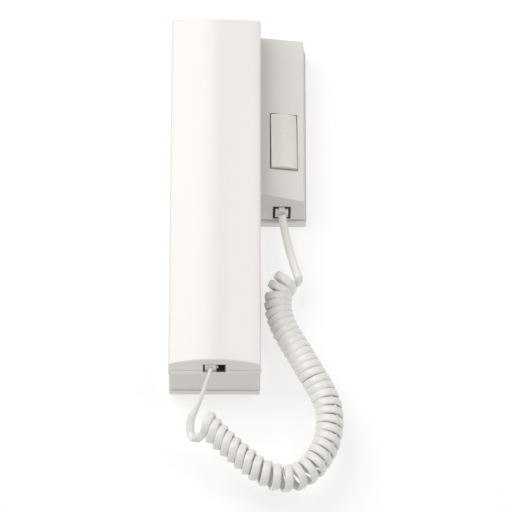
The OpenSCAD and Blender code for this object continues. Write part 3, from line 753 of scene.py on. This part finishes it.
class CORD_OT_cord(bpy.types.Operator):
    """Winds the flat cord and hangs it between the two plugs"""

    bl_idname = "cord.cord"
    bl_label = "Coiled cord"

    def execute(self, context):
        sizes = settings().cord
        path, heading, width = wind(sizes)
        path = path * MM
        normal = np.cross(heading, width)
        across, deep = flat_section(sizes)
        rings = path[:, None] + across[None, :, None] * width[:, None] + deep[None, :, None] * normal[:, None]
        cord = new_piece("coiled_cord", loft(rings), finishes()["cord_sheath"])
        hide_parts("cord_base_tail", "cord_coil", "cord_handset_tail")
        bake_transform(cord)
        return {"FINISHED"}


# ---------------------------------------------------------------- stage


CAMERA_AIM = Vector((24.2, -25, -29.9)) * MM
CAMERA_PLACE = Vector((0, -1612.1, -609.2)) * MM


def area_light(name, place, aim, size, watts, tint=(1, 1, 1)):
    data = bpy.data.lights.new(name, "AREA")
    data.shape = "DISK"
    data.size = size
    data.energy = watts
    data.color = tint
    light = bpy.data.objects.new(name, data)
    light.location = place
    light.rotation_euler = (Vector(aim) - Vector(place)).to_track_quat("-Z", "Y").to_euler()
    bpy.context.scene.collection.objects.link(light)
    return light


def stage_material(name, rgb, glow=0.0, one_sided=False):
    material = bpy.data.materials.new(name)
    material.use_nodes = True
    tree = material.node_tree
    shader = tree.nodes["Principled BSDF"]
    shader.inputs["Base Color"].default_value = (*rgb, 1)
    shader.inputs["Roughness"].default_value = 0.9
    shader.inputs["Specular IOR Level"].default_value = 0.1
    shader.inputs["Emission Color"].default_value = (1, 1, 1, 1)
    shader.inputs["Emission Strength"].default_value = glow
    if one_sided:
        clear = tree.nodes.new("ShaderNodeBsdfTransparent")
        pick = tree.nodes.new("ShaderNodeMixShader")
        side = tree.nodes.new("ShaderNodeNewGeometry")
        tree.links.new(side.outputs["Backfacing"], pick.inputs["Fac"])
        tree.links.new(shader.outputs["BSDF"], pick.inputs[1])
        tree.links.new(clear.outputs["BSDF"], pick.inputs[2])
        tree.links.new(pick.outputs["Shader"], tree.nodes["Material Output"].inputs["Surface"])
    return material


def plane(name, corners, material):
    bm = bmesh.new()
    bm.faces.new([bm.verts.new(c) for c in corners])
    mesh = bpy.data.meshes.new(name)
    bm.to_mesh(mesh)
    bm.free()
    piece = bpy.data.objects.new(name, mesh)
    mesh.materials.append(material)
    bpy.context.scene.collection.objects.link(piece)
    piece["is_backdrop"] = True
    return piece


class STAGE_OT_stage(bpy.types.Operator):
    """Sets the pale wall and floor, the soft light and the camera"""

    bl_idname = "stage.stage"
    bl_label = "Stage"

    def execute(self, context):
        scene = context.scene
        wide, drop, rise, reach = 3.0, -0.9, 1.6, -3.0
        behind = 0.0006
        plane("wall", [(-wide, behind, drop), (wide, behind, drop),
                       (wide, behind, rise), (-wide, behind, rise)],
              stage_material("pale_wall", (0.45, 0.45, 0.45), glow=0.6, one_sided=True))
        plane("floor", [(-wide, reach, drop), (wide, reach, drop), (wide, 2.0, drop), (-wide, 2.0, drop)],
              stage_material("pale_floor", (0.6, 0.6, 0.6)))
        world = bpy.data.worlds.new("soft_room")
        world.use_nodes = True
        tree = world.node_tree
        up = tree.nodes.new("ShaderNodeSeparateXYZ")
        tree.links.new(tree.nodes.new("ShaderNodeTexCoord").outputs["Generated"], up.inputs[0])
        tree.links.new(ramp(tree, up.outputs["Z"], -0.7, 0.5, 0.1, 0.26),
                       tree.nodes["Background"].inputs["Strength"])
        tree.nodes["Background"].inputs["Color"].default_value = (1, 1, 1, 1)
        scene.world = world
        area_light("key", (-0.75, -1.4, 0.55), (0, -0.02, 0), 1.5, 18, (1.0, 0.98, 0.955))
        area_light("fill", (0.9, -1.5, 0.25), (0, -0.02, 0), 1.2, 8, (1.0, 0.985, 0.97))
        scene.view_settings.view_transform = "Standard"
        data = bpy.data.cameras.new("camera")
        data.sensor_width = 36
        data.lens = 200.6
        data.clip_end = 20
        camera = bpy.data.objects.new("camera", data)
        camera.location = CAMERA_PLACE
        camera.rotation_euler = (CAMERA_AIM - CAMERA_PLACE).to_track_quat("-Z", "Y").to_euler()
        scene.collection.objects.link(camera)
        scene.camera = camera
        return {"FINISHED"}


# ---------------------------------------------------------------- screws


def solids(node):
    """Box of each separate solid in a frame node."""
    bm = bmesh.new()
    bm.from_mesh(frame["nodes"][node].data)
    bmesh.ops.remove_doubles(bm, verts=bm.verts, dist=2e-6)
    waiting, boxes = set(bm.verts), []
    while waiting:
        reach = [waiting.pop()]
        points = []
        while reach:
            vert = reach.pop()
            points.append(vert.co)
            for edge in vert.link_edges:
                other = edge.other_vert(vert)
                if other in waiting:
                    waiting.remove(other)
                    reach.append(other)
        boxes.append((Vector([min(p[k] for p in points) for k in range(3)]),
                      Vector([max(p[k] for p in points) for k in range(3)])))
    bm.free()
    return boxes


SCREW_INPUTS = {
    "Head Radius": ("NodeSocketFloat", 2.5 * MM), "Head Height": ("NodeSocketFloat", 1.8 * MM),
    "Shank Radius": ("NodeSocketFloat", 1.1 * MM), "Shank Length": ("NodeSocketFloat", 5 * MM),
    "Slot Width": ("NodeSocketFloat", 0.7 * MM), "Cross": ("NodeSocketBool", True),
    "Threads": ("NodeSocketInt", 8), "Facing": ("NodeSocketFloat", pi / 2),
    "Seed": ("NodeSocketInt", 3), "Finish": ("NodeSocketMaterial", None),
}


def screw_tree():
    """Geometry nodes that set a turned screw on every vertex, its head along -Y."""
    known = bpy.data.node_groups.get("screw_row")
    if known:
        return known
    tree = bpy.data.node_groups.new("screw_row", "GeometryNodeTree")
    tree.interface.new_socket("Geometry", in_out="INPUT", socket_type="NodeSocketGeometry")
    for label, (kind, value) in SCREW_INPUTS.items():
        socket = tree.interface.new_socket(label, in_out="INPUT", socket_type=kind)
        if value is not None:
            socket.default_value = value
    tree.interface.new_socket("Geometry", in_out="OUTPUT", socket_type="NodeSocketGeometry")
    start = tree.nodes.new("NodeGroupInput")
    end = tree.nodes.new("NodeGroupOutput")
    given = start.outputs

    def node(kind, links=(), **values):
        made = tree.nodes.new(kind)
        for label, value in values.items():
            made.inputs[label.replace("_", " ")].default_value = value
        for label, source in links:
            tree.links.new(source, made.inputs[label])
        return made

    def times(socket, factor):
        return arithmetic(tree, "MULTIPLY", socket, factor)

    def vector(**parts):
        return node("ShaderNodeCombineXYZ", list(parts.items())).outputs[0]

    def moved(geometry, offset):
        return node("GeometryNodeTransform",
                    [("Geometry", geometry), ("Translation", offset)]).outputs["Geometry"]

    radius, tall, thin = given["Head Radius"], given["Head Height"], given["Shank Radius"]
    flank = node("GeometryNodeMeshCone", [
        ("Radius Bottom", radius), ("Radius Top", times(radius, 0.97)), ("Depth", times(tall, 0.7))],
        Vertices=40).outputs["Mesh"]
    dome = moved(node("GeometryNodeMeshCone", [
        ("Radius Bottom", times(radius, 0.97)), ("Radius Top", times(radius, 0.8)),
        ("Depth", times(tall, 0.3))], Vertices=40).outputs["Mesh"], vector(Z=times(tall, 0.7)))
    slot_high = vector(Z=times(tall, 1.05))
    slot_long = times(radius, 1.3)
    along_x = moved(node("GeometryNodeMeshCube", [
        ("Size", vector(X=slot_long, Y=given["Slot Width"], Z=tall))]).outputs["Mesh"], slot_high)
    along_y = moved(node("GeometryNodeMeshCube", [
        ("Size", vector(X=given["Slot Width"], Y=slot_long, Z=tall))]).outputs["Mesh"], slot_high)
    head = node("GeometryNodeMeshBoolean")
    head.operation = "UNION"
    tree.links.new(flank, head.inputs["Mesh 2"])
    tree.links.new(dome, head.inputs["Mesh 2"])
    cross = node("GeometryNodeMeshBoolean")
    cross.operation = "DIFFERENCE"
    tree.links.new(head.outputs["Mesh"], cross.inputs["Mesh 1"])
    tree.links.new(along_x, cross.inputs["Mesh 2"])
    second = node("GeometryNodeSwitch", [("Switch", given["Cross"])])
    second.input_type = "GEOMETRY"
    tree.links.new(along_y, second.inputs["True"])
    tree.links.new(second.outputs[0], cross.inputs["Mesh 2"])
    deep = given["Shank Length"]
    shank = moved(node("GeometryNodeMeshCylinder", [
        ("Radius", times(thin, 0.82)), ("Depth", deep)], Vertices=24).outputs["Mesh"],
        vector(Z=times(deep, -0.495)))
    pitch = arithmetic(tree, "DIVIDE", deep, given["Threads"])
    ridge = node("GeometryNodeMeshCone", [
        ("Radius Bottom", times(thin, 0.8)), ("Radius Top", thin), ("Depth", times(pitch, 0.75))],
        Vertices=24).outputs["Mesh"]
    line = node("GeometryNodeMeshLine", [
        ("Count", given["Threads"]), ("Start Location", vector(Z=times(pitch, -0.9))),
        ("Offset", vector(Z=times(pitch, -1.0)))])
    ridges = node("GeometryNodeInstanceOnPoints", [("Points", line.outputs["Mesh"]), ("Instance", ridge)])
    whole = node("GeometryNodeJoinGeometry")
    for piece in (cross.outputs["Mesh"], shank, ridges.outputs["Instances"]):
        tree.links.new(piece, whole.inputs["Geometry"])
    laid = node("GeometryNodeTransform", [
        ("Geometry", whole.outputs["Geometry"]), ("Rotation", vector(X=given["Facing"]))])
    placed = node("GeometryNodeInstanceOnPoints", [
        ("Points", given["Geometry"]), ("Instance", laid.outputs["Geometry"])])
    chance = node("FunctionNodeRandomValue", [("Seed", given["Seed"])])
    turned = node("GeometryNodeRotateInstances", [
        ("Instances", placed.outputs["Instances"]), ("Rotation", vector(Y=times(chance.outputs[1], pi)))])
    real = node("GeometryNodeRealizeInstances", [("Geometry", turned.outputs["Instances"])])
    coated = node("GeometryNodeSetMaterial", [
        ("Geometry", real.outputs["Geometry"]), ("Material", given["Finish"])])
    tree.links.new(coated.outputs["Geometry"], end.inputs["Geometry"])
    return tree


# Node, body, head height, cross recess, threads, and whether the head faces the wall
SCREWS = (
    ("board_screws", "base", 1.8 * MM, True, 6, False),
    ("cover_screws", "base", 2.0 * MM, True, 12, False),
    ("handset_screws", "handset", 1.6 * MM, True, 8, True),
    ("terminal_screws", "base", 1.2 * MM, False, 4, False),
)
SHANKS = {"board_screws": 1.05 * MM, "cover_screws": 1.45 * MM, "handset_screws": 1.1 * MM,
          "terminal_screws": 1.2 * MM}


class BASE_OT_screws(bpy.types.Operator):
    """Sets turned screws with driver recesses in place of the plain ones"""

    bl_idname = "base.screws"
    bl_label = "Screws"

    def execute(self, context):
        steel = finishes()["steel"]
        tree = screw_tree()
        keys = {item.name: item.identifier for item in tree.interface.items_tree if item.in_out == "INPUT"}
        for node, body, head, cross, threads, to_wall in SCREWS:
            boxes = solids(node)
            low, high = boxes[0]
            points = [((a.x + b.x) / 2, b.y - head if to_wall else a.y + head, (a.z + b.z) / 2)
                      for a, b in boxes]
            mesh = bpy.data.meshes.new(node + "_set")
            mesh.from_pydata(points, [], [])
            piece = bpy.data.objects.new(node + "_set", mesh)
            context.scene.collection.objects.link(piece)
            step = piece.modifiers.new("screws", "NODES")
            step.node_group = tree
            for label, value in (
                ("Head Radius", (high.x - low.x) / 2), ("Head Height", head), ("Shank Radius", SHANKS[node]),
                ("Shank Length", high.y - low.y - head), ("Slot Width", 0.7 * MM), ("Cross", cross),
                ("Threads", threads), ("Facing", -pi / 2 if to_wall else pi / 2), ("Finish", steel),
            ):
                step[keys[label]] = value
            apply_modifiers(piece)
            if not piece.data.polygons:
                raise RuntimeError("no screws were made for " + node)
            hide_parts(node)
            fit(piece, body)
        return {"FINISHED"}


# ---------------------------------------------------------------- inner parts


INNER_FINISHES = {
    "base_circuit_board": "circuit_board",
    "terminal_block": "terminal_plastic", "control_chip": "black_plastic",
    "capacitors": "capacitor_sleeve", "resistors": "resistor_body", "sounder": "black_plastic",
    "sounder_leads": "wire_red", "base_jack_contacts": "contact_metal", "door_switch_body": "black_plastic",
    "door_switch_plunger": "white_plastic", "hook_switch_body": "black_plastic",
    "hook_switch_plunger": "wire_red", "hook_lever": "white_plastic", "hook_lever_pin": "steel",
    "receiver_gasket": "black_rubber", "receiver_frame": "black_plastic",
    "receiver_diaphragm": "diaphragm", "receiver_magnet": "magnet_steel", "microphone_boot": "black_rubber",
    "microphone_capsule": "capsule_metal", "handset_jack_contacts": "contact_metal",
    "receiver_wires": "wire_blue", "microphone_wires": "wire_red", "base_plug_contacts": "contact_metal",
    "handset_plug_contacts": "contact_metal",
}


class BASE_OT_inner_parts(bpy.types.Operator):
    """Gives the frame's inner parts their finishes"""

    bl_idname = "base.inner_parts"
    bl_label = "Inner parts"

    def execute(self, context):
        finish = finishes()
        for node, slot in INNER_FINISHES.items():
            paint(node, finish[slot])
        return {"FINISHED"}


# ---------------------------------------------------------------- add-on


class HandsetSettings(bpy.types.PropertyGroup):
    """All the settings of the model."""

    shells: PointerProperty(type=ShellSizes)
    button: PointerProperty(type=ButtonSizes)
    cord: PointerProperty(type=CordSizes)
    finishes: PointerProperty(type=Finishes)


STEPS = (
    STAGE_OT_stage, BASE_OT_housing, BASE_OT_button, BASE_OT_jacks, BASE_OT_screws, BASE_OT_inner_parts,
    HANDSET_OT_front_shell, HANDSET_OT_back_shell, CORD_OT_cord,
)


class VIEW3D_PT_handset(bpy.types.Panel):
    """Settings and steps of the wall handset"""

    bl_label = "Wall handset"
    bl_space_type = "VIEW_3D"
    bl_region_type = "UI"
    bl_category = "Handset"

    def draw(self, context):
        held = context.scene.wall_handset
        for label in ("shells", "button", "cord", "finishes"):
            box = self.layout.box()
            box.label(text=label.title())
            for field in getattr(held, label).bl_rna.properties:
                if field.identifier not in ("rna_type", "name"):
                    box.prop(getattr(held, label), field.identifier)
        for step in STEPS:
            self.layout.operator(step.bl_idname)


CLASSES = (ShellSizes, ButtonSizes, CordSizes, Finishes, HandsetSettings, *STEPS, VIEW3D_PT_handset)


def register():
    for item in CLASSES:
        bpy.utils.register_class(item)
    bpy.types.Scene.wall_handset = PointerProperty(type=HandsetSettings)


def unregister():
    del bpy.types.Scene.wall_handset
    for item in reversed(CLASSES):
        bpy.utils.unregister_class(item)


def main():
    register()
    for step in STEPS:
        area, name = step.bl_idname.split(".")
        getattr(getattr(bpy.ops, area), name)()


if __name__ == "__main__":
    main()
